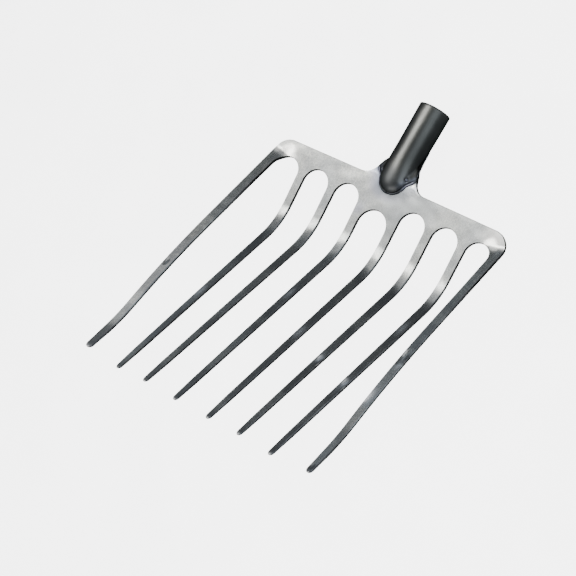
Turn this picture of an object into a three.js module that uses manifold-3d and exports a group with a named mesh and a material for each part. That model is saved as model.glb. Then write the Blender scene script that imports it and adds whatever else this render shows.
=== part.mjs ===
// Farm fork head: an eight-tine steel blade and the tube socket welded into its neck.
// Millimetres, +Z up. X runs across the head, the tines run out along -Y and the socket runs up along +Y.
// The origin is on the plate's top face, on the line through the tops of the slots.
import * as THREE from 'three';
import Module from 'manifold-3d';
import { mergeVertices } from 'three/addons/utils/BufferGeometryUtils.js';

const wasm = await Module();
wasm.setup();

const { lerp, degToRad, clamp, smoothstep } = THREE.MathUtils;
const quarterTurn = Math.PI / 2;

// Blade sizes
const sheet = 4.2;
const easedEdge = 0.7;
const backEdge = 20.2;
const backCrown = 1.1;
const cornerRadius = 23;
const tineRoot = 12.3;
const tineTip = 5.4;
const outerTineRoot = 13;
const outerTineTip = 7;
const centreSlotRadius = 20.9;
const innerSlotRadius = 18.4;
const middleSlotRadius = 18.5;
const outerSlotRadius = 17.7;
const centreSlotDrop = 16;

// Inner tines: flat, one bend, then straight to the tip. The pairs differ a little, as hand-set tines do.
const bendRadius = 82.4;
const innerTineLength = 364.5;
const nearBendStart = 51.7;
const nearBendAngle = degToRad(34.7);
const nearTipDrawIn = 0.9;
const nextBendStart = 52.5;
const nextBendAngle = degToRad(35.3);
const nextTipDrawIn = 1.5;
const farBendStart = 53.9;
const farBendAngle = degToRad(34.5);
const farTipDrawIn = 4.4;

// Outer tines: a shoulder lifts them, a long arch brings them down again and a kink lines up the tips
const shoulderStart = 0.4;
const shoulderSlantShare = 0.32;
const shoulderRadius = 22;
const shoulderAngle = degToRad(28.6);
const archStart = 130;
const archRadius = 1115;
const archAngle = degToRad(-6.9);
const archToKink = 10.5;
const kinkRadius = 225;
const kinkAngle = degToRad(10.9);
const outerTineShortfall = 13.5;

const outerTineLength = innerTineLength - outerTineShortfall;

// Tips
const tipTaperRun = 34;
const tipRound = 5;
const tipThickness = 2.8;
const tipFlatShare = 0.92;

// Socket sizes
const socketRadius = 20.3;
const socketNeckRadius = 19.8;
const socketWall = 2.2;
const socketAxisDrop = 0.2;
const socketDroop = degToRad(6.3);
const mouthRun = 123.5;
const mouthEase = 0.9;
const noseTipRun = 8.4;
const noseTipClearance = 0.03;
const noseRoundRun = 20.6;
const noseDipRun = 60;
const noseDipPower = 2;

// Socket foot: the flange pressed out on both sides of the nose, along the neck's edges
const flangeThickness = 2.2;
const flangeFromRun = 23;
const flangeWideRun = 36.5;
const flangeEndRun = 52;
const flangeInset = 1.2;
const flangeEase = 0.5;
const flangeFilletRise = 5;
const flangeFilletShare = 0.6;
const lowSkinShare = 0.75;
const lowBoreShare = 0.25;

// Neck sizes, the blade's half-round channel under the socket
const neckEndRun = 76;
const neckFilletRadius = 15.5;
const neckRootHalf = 31.6;
const neckFlatRun = backEdge + backCrown;
const neckRoundRun = 85.6;
const neckSlimRun = 59.4;
const neckDroop = degToRad(7.6);
const channelTurn = degToRad(73);

// Welds and seams
const seamGap = 0.3;
const neckBeadRadius = 1.1;
const noseBeadRadius = 1.7;
const plugRadius = 1.9;
const plugRun = 31.5;
const plugReach = 19.8;
const plugDome = 0.5;
const plugDepth = 2.6;
const plugRimShare = 0.3;
const cutOverrun = 3;
const mergeDistance = 0.00004;
const seamSplitRun = 38.5;
const beadLift = 0.2;
const seamCrossRun = 39.5;
const beadEndShare = 0.55;

// Counts of facets
const plateRows = 6;
const arcRows = 8;
const sinkRows = 3;
const bendRows = 8;
const straightRows = 3;
const riseRows = 3;
const archRows = 5;
const kinkRows = 4;
const tipRows = 5;
const neckRows = 10;
const filletRows = 6;
const neckAcross = 10;
const cornerAcross = 3;
const outerAcross = 2;
const joinRows = 2;
const socketSegments = 44;
const noseRows = 9;
const flangeRows = 6;
const flangeAcross = 5;
const halvings = 24;
const dipRows = 6;
const tubeRows = 5;
const neckTubeRows = 3;
const easeRows = 2;
const beadSides = 8;
const beadRows = 14;
const plugSides = 16;
const domeRows = 3;

// A mesh under construction, as points and triangles
class Shell {
  constructor() {
    this.points = [];
    this.triangles = [];
  }

  point(place) {
    this.points.push(place);
    return this.points.length - 1;
  }

  triangle(a, b, c) {
    this.triangles.push([a, b, c]);
  }

  quad(a, b, c, d) {
    this.triangle(a, b, c);
    this.triangle(a, c, d);
  }

  // Joins two rows of points that may differ in number, walking along both at the same share of their length
  stitch(first, second) {
    let i = 0;
    let j = 0;
    while (i < first.length - 1 || j < second.length - 1) {
      const nextFirst = (i + 1) / (first.length - 1 || 1);
      const nextSecond = (j + 1) / (second.length - 1 || 1);
      const moveFirst = j === second.length - 1 || (i < first.length - 1 && nextFirst <= nextSecond);
      if (moveFirst) {
        this.triangle(first[i], second[j], first[i + 1]);
        i += 1;
      } else {
        this.triangle(first[i], second[j], second[j + 1]);
        j += 1;
      }
    }
  }

  // A copy reflected across X = 0, with its faces turned back outward
  addMirror() {
    const shift = this.points.length;
    const reflected = this.points.map((p) => new THREE.Vector3(-p.x, p.y, p.z));
    const turned = this.triangles.map(([a, b, c]) => [a + shift, c + shift, b + shift]);
    this.points.push(...reflected);
    this.triangles.push(...turned);
  }

  geometry() {
    const raw = new THREE.BufferGeometry();
    const corners = this.points.flatMap((p) => [p.x, p.y, p.z]);
    raw.setAttribute('position', new THREE.Float32BufferAttribute(corners, 3));
    raw.setIndex(this.triangles.flat());
    const merged = mergeVertices(raw, mergeDistance);
    const index = merged.index.array;
    const kept = [];
    for (let i = 0; i < index.length; i += 3) {
      const [a, b, c] = [index[i], index[i + 1], index[i + 2]];
      if (a !== b && b !== c && c !== a) {
        kept.push(a, b, c);
      }
    }
    merged.setIndex(kept);
    return outward(merged);
  }
}


// Turns every face over when the solid is inside out
function outward(geometry) {
  const position = geometry.attributes.position;
  const index = geometry.index.array;
  const [a, b, c] = [new THREE.Vector3(), new THREE.Vector3(), new THREE.Vector3()];
  let volume = 0;
  for (let i = 0; i < index.length; i += 3) {
    a.fromBufferAttribute(position, index[i]);
    b.fromBufferAttribute(position, index[i + 1]);
    c.fromBufferAttribute(position, index[i + 2]);
    volume += a.dot(b.cross(c));
  }
  if (volume < 0) {
    const turned = [];
    for (let i = 0; i < index.length; i += 3) {
      turned.push(index[i], index[i + 2], index[i + 1]);
    }
    geometry.setIndex(turned);
  }
  return geometry;
}

// A closed solid through a list of rings that all have the same number of points
function loftSolid(rings) {
  const shell = new Shell();
  const rows = rings.map((ring) => ring.map((p) => shell.point(p)));
  for (let i = 0; i < rows.length - 1; i += 1) {
    for (let j = 0; j < rows[i].length; j += 1) {
      const k = (j + 1) % rows[i].length;
      shell.quad(rows[i][j], rows[i][k], rows[i + 1][k], rows[i + 1][j]);
    }
  }
  capRing(shell, rings[0], rows[0], false);
  capRing(shell, rings.at(-1), rows.at(-1), true);
  return shell.geometry();
}

function capRing(shell, ring, row, forward) {
  const centre = new THREE.Vector3();
  ring.forEach((p) => centre.add(p));
  const hub = shell.point(centre.divideScalar(ring.length));
  for (let j = 0; j < row.length; j += 1) {
    const k = (j + 1) % row.length;
    if (forward) {
      shell.triangle(row[j], row[k], hub);
    } else {
      shell.triangle(row[k], row[j], hub);
    }
  }
}

// Joins and cuts with manifold
function toManifold(geometry) {
  const vertProperties = Float32Array.from(geometry.attributes.position.array);
  const triVerts = Uint32Array.from(geometry.index.array);
  return new wasm.Manifold(new wasm.Mesh({ numProp: 3, vertProperties, triVerts }));
}

function toGeometry(solid) {
  const mesh = solid.getMesh();
  const geometry = new THREE.BufferGeometry();
  geometry.setAttribute('position', new THREE.Float32BufferAttribute(mesh.vertProperties, 3));
  geometry.setIndex(Array.from(mesh.triVerts));
  return geometry;
}

// The side view of a tine: straight runs and bends, followed for a given run of steel from the slot-top line
function followBends(bends, run) {
  const place = { along: Math.min(run, bends[0].straight), up: 0, angle: 0 };
  let left = run - bends[0].straight;
  for (const [number, bend] of bends.entries()) {
    if (left <= 0) {
      return place;
    }
    if (number > 0) {
      goStraight(place, Math.min(left, bend.straight));
      left -= bend.straight;
    }
    if (left > 0) {
      goRound(place, bend, Math.min(left, bend.radius * Math.abs(bend.angle)));
      left -= bend.radius * Math.abs(bend.angle);
    }
  }
  goStraight(place, Math.max(left, 0));
  return place;
}

function goStraight(place, run) {
  place.along += run * Math.cos(place.angle);
  place.up += run * Math.sin(place.angle);
}

function goRound(place, bend, run) {
  const way = Math.sign(bend.angle);
  const next = place.angle + (way * run) / bend.radius;
  place.along += way * bend.radius * (Math.sin(next) - Math.sin(place.angle));
  place.up += way * bend.radius * (Math.cos(place.angle) - Math.cos(next));
  place.angle = next;
}

const nearTine = { bendStart: nearBendStart, bendAngle: nearBendAngle, drawIn: nearTipDrawIn };
const nextTine = { bendStart: nextBendStart, bendAngle: nextBendAngle, drawIn: nextTipDrawIn };
const farTine = { bendStart: farBendStart, bendAngle: farBendAngle, drawIn: farTipDrawIn };

function innerBends(tine) {
  return [{ straight: tine.bendStart, radius: bendRadius, angle: tine.bendAngle }];
}

function outerBends(x) {
  const outside = Math.abs(x) - outerSlot.reach;
  return [
    { straight: shoulderStart - shoulderSlantShare * outside, radius: shoulderRadius, angle: shoulderAngle },
    { straight: archStart, radius: archRadius, angle: archAngle },
    { straight: archToKink, radius: kinkRadius, angle: kinkAngle },
  ];
}

// Formed shapes: they take a place on the flat blank and give its place on the bent blade.
// Flat places are x across, run from the slot-top line toward the tips, and lift above the top face.
function formTine(bends, x, run, lift) {
  const side = followBends(bends, run);
  const along = side.along - lift * Math.sin(side.angle);
  const up = side.up + lift * Math.cos(side.angle);
  return new THREE.Vector3(x, -along, up);
}

function formInner(tine, x, run, lift) {
  return formTine(innerBends(tine), x, run, lift);
}

function formOuter(x, run, lift) {
  return formTine(outerBends(x), x, run, lift);
}

// The socket's axis, at a run up from the slot-top line
function axisPoint(run) {
  return new THREE.Vector3(0, run * Math.cos(socketDroop), -socketAxisDrop - run * Math.sin(socketDroop));
}

const axisUp = new THREE.Vector3(0, Math.sin(socketDroop), Math.cos(socketDroop));

function aroundAxis(run, radius, turn) {
  const place = axisPoint(run);
  place.x += radius * Math.sin(turn);
  return place.addScaledVector(axisUp, -radius * Math.cos(turn));
}

const channelRadius = socketNeckRadius - sheet;
const channelMiddle = channelRadius + sheet / 2;

function neckShare(run) {
  return smoothstep(run, neckFlatRun, neckRoundRun);
}

// How far the neck's flat form has drooped under the plate
function droopAt(up) {
  return Math.max(up - neckFlatRun, 0) * Math.tan(neckDroop);
}

// The neck goes from the flat plate to a half-round channel round the socket's axis
function formNeck(x, run, lift) {
  const up = -run;
  const round = neckShare(up);
  if (round === 0) {
    return formInner(nearTine, x, run, lift);
  }
  const rolled = aroundAxis(up, channelRadius - lift, x / channelMiddle);
  const flat = new THREE.Vector3(x, up, lift - droopAt(up));
  return flat.lerp(rolled, round);
}

// Slots, from the outermost to the centre one. reach is the distance of the slot's centre line from X = 0.
const centreSlot = { reach: 0, radius: centreSlotRadius, top: centreSlotDrop };
const innerSlot = {
  reach: centreSlotRadius + tineRoot + innerSlotRadius,
  radius: innerSlotRadius,
  top: 0,
};
const middleSlot = {
  reach: innerSlot.reach + innerSlotRadius + tineRoot + middleSlotRadius,
  radius: middleSlotRadius,
  top: 0,
};
const outerSlot = {
  reach: middleSlot.reach + middleSlotRadius + tineRoot + outerSlotRadius,
  radius: outerSlotRadius,
  top: 0,
};
const outerEdge = outerSlot.reach + outerSlotRadius + outerTineRoot;

function backEdgeAt(x) {
  return backEdge + backCrown * (1 - (x / outerEdge) ** 2);
}

// The places on a slot's centre line from the back edge down to the slot's top
function slotLine(slot, from) {
  const points = [];
  for (let i = 0; i <= plateRows; i += 1) {
    const run = lerp(-from, slot.top, i / plateRows);
    points.push({ x: -slot.reach, run, xIn: -slot.reach, runIn: run, open: false });
  }
  points[plateRows].runIn -= easedEdge;
  points[plateRows].open = true;
  return points;
}

// The middle line from the back edge, past the line through the other slots' tops, to the centre slot's top
function centreLine() {
  const start = -backEdgeAt(centreSlot.reach);
  const runs = [start, ...spacedRuns(start, innerSlot.top, plateRows)];
  runs.push(...spacedRuns(innerSlot.top, centreSlot.top, sinkRows));
  const points = runs.map((run) => {
    return { x: centreSlot.reach, run, xIn: centreSlot.reach, runIn: run, open: false };
  });
  points.at(-1).runIn -= easedEdge;
  points.at(-1).open = true;
  return points;
}

// A quarter of the slot's round end. way is 1 for its right side and -1 for its left side.
function slotArc(slot, way, rows) {
  const points = [];
  for (let i = 1; i <= rows; i += 1) {
    const turn = (i / rows) * quarterTurn;
    const eased = slot.radius + easedEdge;
    points.push({
      x: -slot.reach + way * slot.radius * Math.sin(turn),
      run: slot.top + slot.radius * (1 - Math.cos(turn)),
      xIn: -slot.reach + way * eased * Math.sin(turn),
      runIn: slot.top + slot.radius - eased * Math.cos(turn),
      open: true,
    });
  }
  return points;
}

// Half of the tip's outline and thickness, as shares of the full ones, at a run along a tine
function tipShare(run, length) {
  const round = clamp((run - (length - tipRound)) / tipRound, 0, 1);
  return Math.sqrt(1 - (round * tipFlatShare) ** 2);
}

function faceLifts(run, length) {
  const thin = smoothstep(run, length - tipTaperRun, length - tipRound);
  const half = (lerp(sheet, tipThickness, thin) / 2) * tipShare(run, length);
  const middle = -sheet / 2;
  return { top: middle + half, bottom: middle - half, ease: Math.min(easedEdge, half / 2) };
}

// The two sides of a tine from the slots' ends to the tip
function tineSides(leftStart, rightStart, tipLeft, tipRight, runs, length) {
  const left = [];
  const right = [];
  for (const run of runs) {
    const leftShare = (run - leftStart.run) / (length - leftStart.run);
    const rightShare = (run - rightStart.run) / (length - rightStart.run);
    const edges = [lerp(leftStart.x, tipLeft, leftShare), lerp(rightStart.x, tipRight, rightShare)];
    const middle = (edges[0] + edges[1]) / 2;
    const half = ((edges[1] - edges[0]) / 2) * tipShare(run, length);
    const ease = Math.min(easedEdge, half / 2);
    left.push({ x: middle - half, run, xIn: middle - half + ease, runIn: run, open: true });
    right.push({ x: middle + half, run, xIn: middle + half - ease, runIn: run, open: true });
  }
  return { left, right };
}

function spacedRuns(from, to, count) {
  return Array.from({ length: count }, (_, i) => lerp(from, to, (i + 1) / count));
}

function tipRuns(length) {
  const runs = [length - tipTaperRun, length - tipTaperRun / 2, length - tipRound];
  for (let i = 1; i <= tipRows; i += 1) {
    runs.push(length - tipRound + tipRound * Math.sin((i / tipRows) * quarterTurn));
  }
  return runs;
}

// A strip of the blade between two boundaries, one row of points per pair of boundary places.
// Boundary places flagged open start a free edge, which gets a wall with eased corners.
function addStrip(shell, strip) {
  const rows = strip.left.map((leftPoint, i) => stripRow(shell, strip, leftPoint, strip.right[i], i));
  for (let i = 0; i < rows.length - 1; i += 1) {
    const [row, next] = [rows[i], rows[i + 1]];
    shell.stitch(row.top, next.top);
    shell.stitch(next.bottom, row.bottom);
    if (strip.left[i].open) {
      addWall(shell, row.leftWall, next.leftWall);
    }
    if (strip.right[i].open) {
      addWall(shell, next.rightWall, row.rightWall);
    }
  }
  if (strip.squareStart) {
    addSquareEnd(shell, strip, rows[0]);
  }
  addTipCap(shell, rows.at(-1));
}

function stripRow(shell, strip, leftPoint, rightPoint, number) {
  const across = strip.across(number);
  const lifts = faceLifts((leftPoint.run + rightPoint.run) / 2, strip.length);
  const row = { top: [], bottom: [], leftPoint, rightPoint, lifts };
  for (let j = 0; j <= across; j += 1) {
    const x = lerp(leftPoint.xIn, rightPoint.xIn, j / across);
    const run = lerp(leftPoint.runIn, rightPoint.runIn, j / across);
    row.top.push(shell.point(strip.form(x, run, lifts.top)));
    row.bottom.push(shell.point(strip.form(x, run, lifts.bottom)));
  }
  row.leftWall = wallPoints(shell, strip, leftPoint, lifts, row.top[0], row.bottom[0]);
  row.rightWall = wallPoints(shell, strip, rightPoint, lifts, row.top[across], row.bottom[across]);
  return row;
}

function wallPoints(shell, strip, place, lifts, top, bottom) {
  const upper = shell.point(strip.form(place.x, place.run, lifts.top - lifts.ease));
  const lower = shell.point(strip.form(place.x, place.run, lifts.bottom + lifts.ease));
  return [top, upper, lower, bottom];
}

function addWall(shell, first, second) {
  for (let i = 0; i < first.length - 1; i += 1) {
    shell.quad(first[i], first[i + 1], second[i + 1], second[i]);
  }
}

// The blade's back edge or the neck's end, a free edge across the strip's first row
function addSquareEnd(shell, strip, row) {
  const count = row.top.length - 1;
  const walls = row.top.map((top, j) => {
    const place = {
      x: lerp(row.leftPoint.x, row.rightPoint.x, j / count),
      run: lerp(row.leftPoint.run, row.rightPoint.run, j / count),
    };
    return wallPoints(shell, strip, place, row.lifts, top, row.bottom[j]);
  });
  for (let j = 0; j < count; j += 1) {
    addWall(shell, walls[j + 1], walls[j]);
  }
}

function addTipCap(shell, row) {
  const outline = [...row.top, ...row.rightWall.slice(1, 3), ...row.bottom.toReversed()];
  outline.push(...row.leftWall.slice(1, 3).reverse());
  const centre = new THREE.Vector3();
  outline.forEach((number) => centre.add(shell.points[number]));
  const hub = shell.point(centre.divideScalar(outline.length));
  outline.forEach((number, i) => {
    shell.triangle(outline[(i + 1) % outline.length], number, hub);
  });
}

// An inner tine with the plate above it, between the slots on its two sides
function innerStrip(tine, leftSlot, rightSlot) {
  const length = innerTineLength;
  const left = [...slotLine(leftSlot, backEdgeAt(leftSlot.reach)), ...slotArc(leftSlot, 1, arcRows)];
  const right = [...slotLine(rightSlot, backEdgeAt(rightSlot.reach)), ...slotArc(rightSlot, -1, arcRows)];
  left[0].runIn += easedEdge;
  right[0].runIn += easedEdge;
  const sides = innerTineSides(tine, left.at(-1), right.at(-1), length);
  return {
    left: [...left, ...sides.left],
    right: [...right, ...sides.right],
    across: () => 1,
    form: (x, run, lift) => formInner(tine, x, run, lift),
    length,
    squareStart: true,
  };
}

function innerTineSides(tine, leftStart, rightStart, length) {
  const middle = (leftStart.x + rightStart.x) / 2 + tine.drawIn;
  const bendEnd = tine.bendStart + bendRadius * tine.bendAngle;
  const runs = [
    tine.bendStart,
    ...spacedRuns(tine.bendStart, bendEnd, bendRows),
    ...spacedRuns(bendEnd, length - tipTaperRun, straightRows).slice(0, -1),
    ...tipRuns(length),
  ];
  return tineSides(leftStart, rightStart, middle - tineTip / 2, middle + tineTip / 2, runs, length);
}

// The outermost tine with its rounded shoulder
function outerStrip() {
  const length = outerTineLength;
  const right = [...slotLine(outerSlot, backEdgeAt(outerSlot.reach)), ...slotArc(outerSlot, -1, arcRows)];
  right[0].runIn += easedEdge;
  const left = shoulderOutline(right);
  const tine = outerTineSides(left.at(-1), right.at(-1), length);
  return {
    left: [...left, ...tine.left],
    right: [...right, ...tine.right],
    across: (number) => (number < right.length ? cornerAcross : outerAcross),
    form: formOuter,
    length,
    squareStart: false,
  };
}

// How far a place of the blank is past the slanted line where the shoulder's bend starts
function pastShoulder(x, run) {
  return run + shoulderSlantShare * (Math.abs(x) - outerSlot.reach) - shoulderStart;
}

// The blank's outline round the corner, at a turn round the corner and then on along the outer tine's edge
function cornerPlace(turn) {
  const round = Math.min(turn, quarterTurn);
  const centreX = cornerRadius - outerEdge;
  const centreRun = cornerRadius - backEdgeAt(outerSlot.reach);
  const eased = cornerRadius - easedEdge;
  const onward = (turn - round) * cornerRadius;
  return {
    x: centreX - cornerRadius * Math.sin(round),
    run: centreRun - cornerRadius * Math.cos(round) + onward,
    xIn: centreX - eased * Math.sin(round),
    runIn: centreRun - eased * Math.cos(round) + onward,
    open: true,
  };
}

// The outline's places that are as far past the shoulder's start as the places across from them
function shoulderOutline(across) {
  return across.map((place, i) => {
    if (i === 0) {
      return { ...place, open: true };
    }
    let low = 0;
    let high = Math.PI;
    for (let k = 0; k < halvings; k += 1) {
      const middle = cornerPlace((low + high) / 2);
      if (pastShoulder(middle.x, middle.run) < pastShoulder(place.x, place.run)) {
        low = (low + high) / 2;
      } else {
        high = (low + high) / 2;
      }
    }
    return cornerPlace(high);
  });
}

function outerTineSides(leftStart, rightStart, length) {
  const shoulderEnd = shoulderStart + shoulderRadius * shoulderAngle;
  const archFrom = shoulderEnd + archStart;
  const archTo = archFrom + archRadius * Math.abs(archAngle);
  const kinkFrom = archTo + archToKink;
  const kinkTo = kinkFrom + kinkRadius * kinkAngle;
  const runs = [
    ...spacedRuns(leftStart.run, archFrom, riseRows),
    ...spacedRuns(archFrom, archTo, archRows),
    kinkFrom,
    ...spacedRuns(kinkFrom, kinkTo, kinkRows),
    ...tipRuns(length).filter((run) => run > kinkTo),
  ];
  return tineSides(leftStart, rightStart, -outerEdge, outerTineTip - outerEdge, runs, length);
}

// The tine beside the centre slot, with its half of the plate's middle and of the neck
function neckStrip() {
  const length = innerTineLength;
  const neck = neckOutline();
  const leftLine = slotLine(innerSlot, backEdgeAt(innerSlot.reach));
  leftLine[0].runIn += easedEdge;
  leftLine[0].open = false;
  const left = [...neck.left, ...leftLine, ...slotArc(innerSlot, 1, arcRows + sinkRows)];
  const right = [...neck.right, ...centreLine(), ...slotArc(centreSlot, -1, arcRows)];
  const sides = innerTineSides(nearTine, left.at(-1), right.at(-1), length);
  const wide = neck.left.length + plateRows - joinRows;
  return {
    left: [...left, ...sides.left],
    right: [...right, ...sides.right],
    across: (number) => (number < wide ? neckAcross : 1),
    form: formNeck,
    length,
    squareStart: true,
  };
}

// The neck's edge from its end under the socket, down its side and round the fillet to the back edge
function neckOutline() {
  const left = [];
  const right = [];
  const back = backEdgeAt(neckRootHalf);
  const filletTop = back + neckFilletRadius;
  for (let i = 0; i <= neckRows; i += 1) {
    const up = lerp(neckEndRun, filletTop, i / neckRows);
    const half = neckHalfAt(up);
    left.push({ x: -half, run: -up, xIn: easedEdge - half, runIn: -up, open: true });
    right.push({ x: 0, run: -up, xIn: 0, runIn: -up, open: false });
  }
  left[0].runIn += easedEdge;
  right[0].runIn += easedEdge;
  const centreX = -(neckRootHalf + neckFilletRadius);
  for (let i = 1; i <= filletRows; i += 1) {
    const turn = (i / filletRows) * quarterTurn;
    const eased = neckFilletRadius + easedEdge;
    left.push({
      x: centreX + neckFilletRadius * Math.cos(turn),
      run: neckFilletRadius * Math.sin(turn) - filletTop,
      xIn: centreX + eased * Math.cos(turn),
      runIn: eased * Math.sin(turn) - filletTop,
      open: true,
    });
    const up = lerp(filletTop, backEdgeAt(0), i / (filletRows + 1));
    right.push({ x: 0, run: -up, xIn: 0, runIn: -up, open: false });
  }
  return { left, right };
}

function neckHalfAt(up) {
  const filletTop = backEdgeAt(neckRootHalf) + neckFilletRadius;
  return lerp(neckRootHalf, channelMiddle * channelTurn, smoothstep(up, filletTop, neckSlimRun));
}

function makeBlade() {
  const shell = new Shell();
  addStrip(shell, outerStrip());
  addStrip(shell, innerStrip(farTine, outerSlot, middleSlot));
  addStrip(shell, innerStrip(nextTine, middleSlot, innerSlot));
  addStrip(shell, neckStrip());
  shell.addMirror();
  return shell.geometry();
}

// Room that the blade's neck and plate take up in the socket, with the seam's clearance all round
function neckRoom() {
  const from = neckEndRun + seamGap;
  const to = -centreSlotDrop;
  const rings = spacedRuns(from, to, neckRows + filletRows).map((up) => neckRoomRing(up));
  return toManifold(loftSolid([neckRoomRing(from), ...rings]));
}

function neckRoomRing(up) {
  const half = neckHalfAt(up);
  const ring = [];
  const sides = 2 * neckAcross;
  for (let j = 0; j <= sides; j += 1) {
    ring.push(formNeck(lerp(-1, 1, j / sides) * (half + seamGap), -up, seamGap));
  }
  for (let j = sides; j >= 0; j -= 1) {
    ring.push(formNeck(lerp(-1, 1, j / sides) * (half + seamGap), -up, -sheet - seamGap));
  }
  return ring;
}

// The socket's half width and top height over the seam, at a run up from the slot-top line
function socketRadiusAt(up) {
  return lerp(socketNeckRadius, socketRadius, clamp((up - neckEndRun) / (mouthRun - neckEndRun), 0, 1));
}

function noseWidthAt(up) {
  const round = clamp((noseTipRun + noseRoundRun - up) / noseRoundRun, 0, 1);
  return Math.sqrt(1 - round ** 2);
}

function noseHeightAt(up) {
  const dip = clamp((noseDipRun - up) / (noseDipRun - noseTipRun), 0, 1);
  return (1 - dip ** noseDipPower) ** (1 / noseDipPower);
}

// One ring of the socket. inset is how far it lies inside the outer skin.
function socketRing(up, inset, lowLift) {
  const radius = socketRadiusAt(up) - inset;
  const side = socketRadiusAt(up) * noseWidthAt(up) - inset;
  const ring = [];
  const half = socketSegments / 2;
  const round = neckShare(up);
  const seam = lerp(-droopAt(up), axisPoint(up).z, round);
  const top = axisPoint(up).z + socketRadiusAt(up) * Math.cos(socketDroop);
  const height = (top - seam) * noseHeightAt(up) - inset;
  const lean = Math.tan(socketDroop) * clamp(up / neckRoundRun, 0, 1);
  const base = axisPoint(up).y;
  for (let j = 0; j <= half; j += 1) {
    const turn = (j / half) * Math.PI;
    const rise = height * Math.sin(turn);
    ring.push(new THREE.Vector3(-side * Math.cos(turn), base + rise * lean, seam + rise));
  }
  for (let j = half - 1; j > 0; j -= 1) {
    const share = Math.cos((j / half) * Math.PI);
    const turn = Math.asin(-share);
    const rolled = aroundAxis(up, radius, turn);
    const flat = new THREE.Vector3(-side * share, base, lowLift - droopAt(up));
    ring.push(flat.lerp(rolled, round));
  }
  return ring;
}

function socketRuns(from) {
  const runs = [];
  for (let i = 1; i < noseRows; i += 1) {
    runs.push(from + noseRoundRun * (1 - Math.cos((i / noseRows) * quarterTurn)));
  }
  runs.push(...spacedRuns(from + noseRoundRun, noseDipRun, dipRows));
  runs.push(...spacedRuns(noseDipRun, neckEndRun, neckTubeRows));
  return runs;
}

function makeSocketTube() {
  const outerRings = [noseTipRun, ...socketRuns(noseTipRun)].map((up) => {
    return socketRing(Math.max(up, noseTipRun + noseTipClearance), 0, -sheet * lowSkinShare);
  });
  for (const up of spacedRuns(neckEndRun, mouthRun - mouthEase, tubeRows)) {
    outerRings.push(socketRing(up, 0, 0));
  }
  for (const turn of spacedRuns(0, quarterTurn, easeRows)) {
    const inset = mouthEase * (1 - Math.cos(turn));
    outerRings.push(socketRing(mouthRun - mouthEase * (1 - Math.sin(turn)), inset, 0));
  }
  const innerStart = noseTipRun + socketWall;
  const innerRings = [innerStart + seamGap, ...socketRuns(innerStart)].map((up) => {
    return socketRing(up, socketWall, -sheet * lowBoreShare);
  });
  innerRings.push(socketRing(mouthRun - mouthEase, socketWall, 0));
  innerRings.push(socketRing(mouthRun + cutOverrun, socketWall - mouthEase / 2, 0));
  const outer = toManifold(loftSolid(outerRings));
  const inner = toManifold(loftSolid(innerRings));
  const left = toManifold(flangeSolid(-1));
  const right = toManifold(flangeSolid(1));
  return outer.add(left).add(right).subtract(inner);
}

// How far the socket's foot reaches out from the middle, measured along the neck's face
function footHalfAt(up) {
  const nose = socketRadiusAt(up) * noseWidthAt(up);
  return lerp(nose, neckHalfAt(up) - flangeInset, smoothstep(up, flangeFromRun, flangeWideRun));
}

// Where the middle of the socket's wall stands on the neck's face
function wallHalfAt(up) {
  const reach = socketRadiusAt(up) * noseWidthAt(up) - socketWall / 2;
  let low = 0;
  let high = footHalfAt(up);
  for (let i = 0; i < halvings; i += 1) {
    const middle = (low + high) / 2;
    if (formNeck(middle, -up, 0).x < reach) {
      low = middle;
    } else {
      high = middle;
    }
  }
  return high;
}

// The flange's top, as a lift over the neck's face: thin at its edge, with a fillet up to the tube
function flangeLift(up, x) {
  const from = wallHalfAt(up);
  const width = footHalfAt(up) - from;
  const out = clamp((x - from) / width, 0, 1);
  return flangeThickness + Math.min(flangeFilletRise, width * flangeFilletShare) * (1 - out) ** 2;
}

function flangeRing(up, way) {
  const from = wallHalfAt(up);
  const to = footHalfAt(up);
  const upper = [];
  const lower = [];
  for (let j = 0; j <= flangeAcross; j += 1) {
    const x = lerp(from, to, j / flangeAcross);
    upper.push(formNeck(way * Math.min(x, to - flangeEase), -up, flangeLift(up, x)));
    lower.push(formNeck(way * x, -up, -seamGap));
  }
  upper.push(formNeck(way * to, -up, flangeLift(up, to) - flangeEase));
  return [...upper, ...lower.toReversed()];
}

function flangeSolid(way) {
  const runs = [flangeFromRun, ...spacedRuns(flangeFromRun, flangeWideRun, flangeRows)];
  runs.push(...spacedRuns(flangeWideRun, flangeEndRun, flangeRows));
  return loftSolid(runs.map((up) => flangeRing(up, way)));
}

// A round bead swept along a line of points, drawn in at its two ends
function beadSolid(line, radius, clearance) {
  const last = line.length - 1;
  const rings = line.map((point, i) => {
    const way = line[Math.min(i + 1, last)].clone().sub(line[Math.max(i - 1, 0)]).normalize();
    const side = new THREE.Vector3(0, 0, 1).cross(way).normalize();
    const up = way.clone().cross(side);
    const size = (i === 0 || i === last ? radius * beadEndShare : radius) + clearance;
    return circlePoints(point, side, up, size, beadSides);
  });
  const reach = line[1].clone().sub(line[0]).setLength(clearance);
  rings[0].forEach((p) => p.sub(reach));
  reach.copy(line[last]).sub(line[last - 1]).setLength(clearance);
  rings[last].forEach((p) => p.add(reach));
  return loftSolid(rings);
}

function circlePoints(centre, side, up, radius, count) {
  return Array.from({ length: count }, (_, j) => {
    const turn = ((j + 0.5) / count) * 2 * Math.PI;
    return centre
      .clone()
      .addScaledVector(side, radius * Math.cos(turn))
      .addScaledVector(up, radius * Math.sin(turn));
  });
}

// The seam round the socket's foot, on the right side for way 1 and in the middle for way 0
// Past the flange it crosses the sheet's edge to the socket's outer skin.
function seamPoint(up, way) {
  const across = smoothstep(up, seamCrossRun, flangeEndRun + flangeInset);
  const reach = lerp(footHalfAt(up), neckHalfAt(up) + seamGap / 2, across);
  return formNeck(way * reach, -up, lerp(beadLift, -sheet, across));
}

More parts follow.
